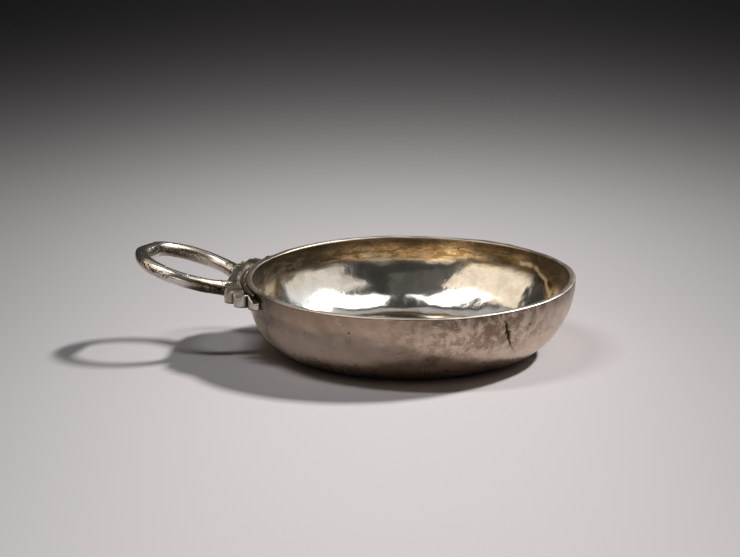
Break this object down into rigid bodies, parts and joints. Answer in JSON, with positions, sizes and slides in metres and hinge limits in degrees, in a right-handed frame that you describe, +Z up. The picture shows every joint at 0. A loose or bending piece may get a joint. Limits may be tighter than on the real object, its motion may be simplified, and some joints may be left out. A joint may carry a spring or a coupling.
{
  "type": "wine tasting cup",
  "caption": "Shallow round silver tasting bowl with a thick flat rim and a finger ring soldered to a lobed shell bracket.",
  "frame": {"origin": "centre of the flat base, on the surface that the cup stands on", "axes": "+Z up through the mouth of the bowl; -X points along the handle, so the ring is at -X; +Y is across the handle"},
  "size_m": [0.1075, 0.08, 0.0238],
  "materials": {
    "worn_silver": "old hammered silver, polished inside, warm and scuffed outside",
    "cast_silver": "cast silver, dark in its hollows and bright on its edges",
    "wire_silver": "hand-worn silver wire with small pits",
    "solder_grey": "dull grey hard solder"
  },
  "bodies": {
    "root": {"bowl": "worn_silver", "shell_bracket": "cast_silver", "handle_ring": "wire_silver", "wall_solder": "solder_grey", "ring_solder_front": "solder_grey", "ring_solder_back": "solder_grey"}
  },
  "joints": []
}
